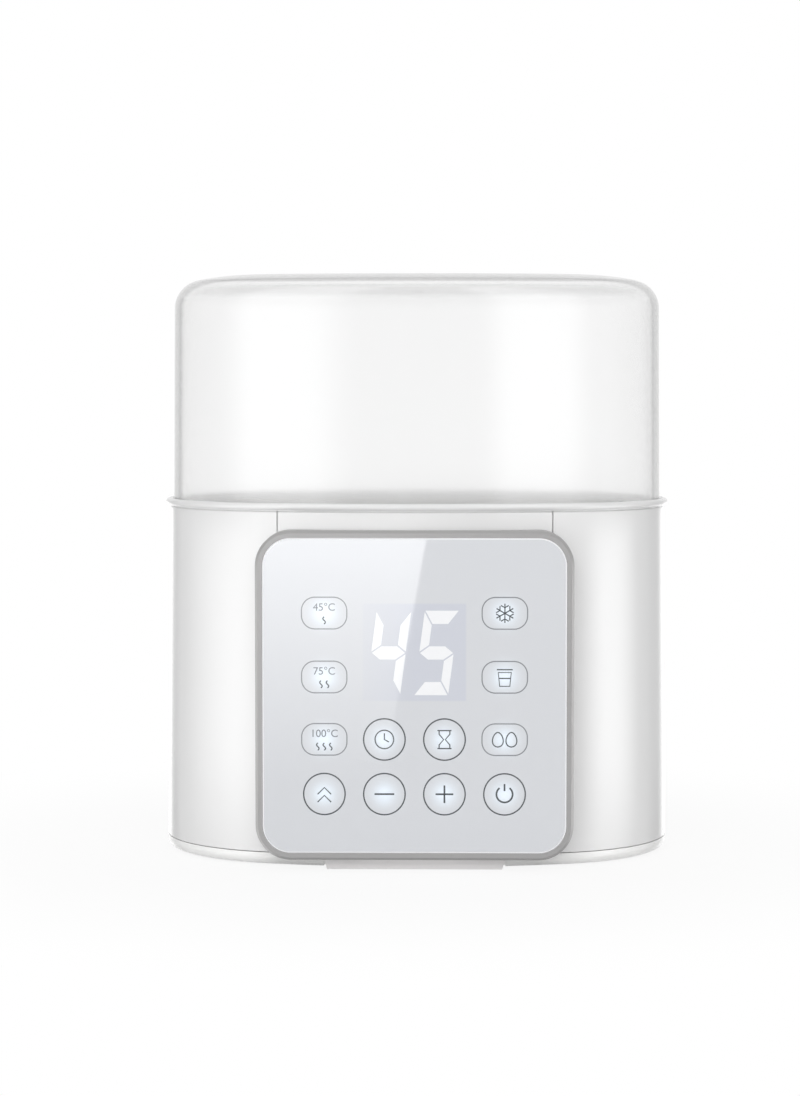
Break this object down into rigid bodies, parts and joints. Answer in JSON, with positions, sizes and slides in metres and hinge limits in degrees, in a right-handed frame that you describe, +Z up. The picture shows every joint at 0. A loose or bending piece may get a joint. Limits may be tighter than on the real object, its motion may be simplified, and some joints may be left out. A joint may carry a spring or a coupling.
{
  "type": "bottle sterilizer",
  "caption": "Oval countertop bottle warmer and sterilizer with a clear lift-off lid, lift-out basket, heated water tank and a flat touch panel with a digit display.",
  "frame": {"origin": "on the floor, under the middle of the body's oval plan", "axes": "+Z up, the touch panel faces -Y, the long side of the oval runs along X"},
  "size_m": [0.1866, 0.123, 0.2129],
  "materials": {
    "body_white": "white moulded plastic, satin gloss",
    "collar_white": "white moulded plastic, glossy bead",
    "foot_grey": "pale grey rubber",
    "tank_white": "white moulded plastic",
    "plate_metal": "coated cast aluminium",
    "seal_rubber": "red silicone",
    "sheet_steel": "plated sheet steel",
    "screw_steel": "zinc-plated steel",
    "element_metal": "sheathed heating element",
    "sensor_brass": "plated brass can",
    "board_green": "green circuit board",
    "relay_blue": "blue moulded case",
    "winding_yellow": "yellow winding tape on a dark core",
    "can_metal": "sleeved capacitor can",
    "lead_red": "silicone-insulated lead",
    "ribbon_grey": "grey ribbon cable",
    "gland_white": "white moulded plastic",
    "bezel_grey": "silver-grey painted plastic",
    "lens_silver": "silver back-printed glossy panel",
    "pad_black": "conductive foam",
    "display_blue": "pale blue-grey display block",
    "digit_white": "white light diffuser",
    "basket_white": "white moulded plastic",
    "lid_clear": "clear moulded plastic"
  },
  "bodies": {
    "base": {"bottom_cover": "body_white", "front_foot": "foot_grey", "rear_feet": "foot_grey", "outer_shell": "body_white", "front_fascia": "body_white", "collar_ring": "collar_white", "inner_tank": "tank_white", "heating_plate": "plate_metal", "plate_seal": "seal_rubber", "plate_clamp": "sheet_steel", "clamp_screws": "screw_steel", "heating_element": "element_metal", "temperature_sensor": "sensor_brass", "thermal_cutout": "sheet_steel", "thermal_fuse": "sensor_brass", "power_board": "board_green", "relay": "relay_blue", "transformer": "winding_yellow", "filter_capacitor": "can_metal", "board_screws": "screw_steel", "heater_leads": "lead_red", "panel_cable": "ribbon_grey", "cord_gland": "gland_white", "panel_bezel": "bezel_grey", "panel_lens": "lens_silver", "control_board": "board_green", "touch_pads": "pad_black", "display_module": "display_blue", "digit_segments": "digit_white", "panel_screws": "screw_steel", "tank_screws": "screw_steel", "base_screws": "screw_steel"},
    "basket": {"bottle_basket": "basket_white"},
    "lid": {"lid": "lid_clear"}
  },
  "joints": [
    {"name": "lid_lift", "type": "slide", "parent": "base", "child": "lid", "axis": [0, 0, 1], "range_m": [0, 0.12]},
    {"name": "basket_lift", "type": "slide", "parent": "base", "child": "basket", "axis": [0, 0, 1], "range_m": [0, 0.09]}
  ]
}
